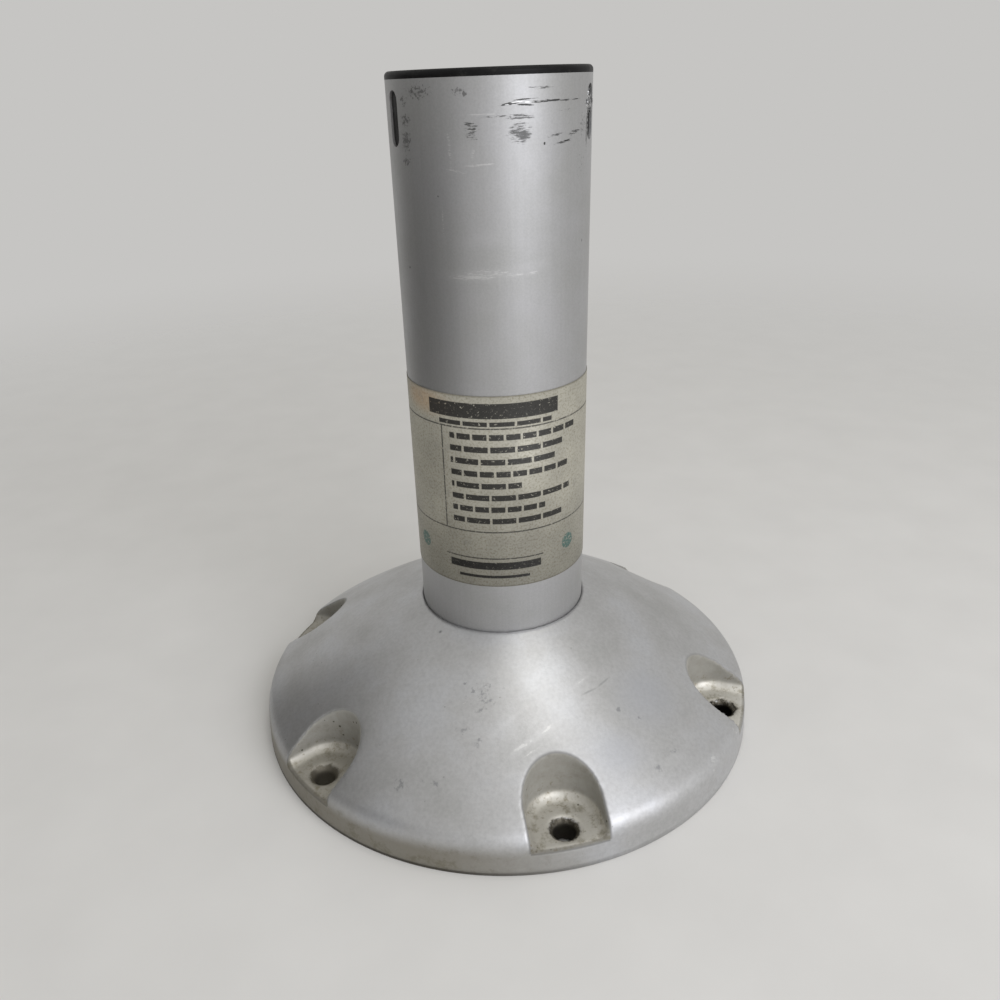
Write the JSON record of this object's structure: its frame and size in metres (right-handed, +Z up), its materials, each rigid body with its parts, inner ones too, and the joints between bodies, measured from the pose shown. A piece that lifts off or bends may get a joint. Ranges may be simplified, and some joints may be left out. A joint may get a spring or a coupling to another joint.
{
  "type": "boat seat pedestal",
  "caption": "Fixed height boat seat pedestal: a round metal post in a low cast dome base with bolt pockets, a plastic bushing in the top of the post and a plain worn label.",
  "frame": {"origin": "centre of the base on the deck plane", "axes": "+Z up the post, one bolt hole faces -Y, +X completes the right hand"},
  "size_m": [0.2286, 0.2286, 0.271],
  "materials": {
    "cast_metal": "satin cast, worn, oxide in the pockets",
    "tube_metal": "satin drawn tube with scuffs near the top",
    "black_plastic": "soft sheen moulded plastic",
    "label_film": "aged metallic film with worn print"
  },
  "bodies": {
    "root": {"base_casting": "cast_metal", "post_tube": "tube_metal", "top_bushing": "black_plastic", "label": "label_film"}
  },
  "joints": []
}
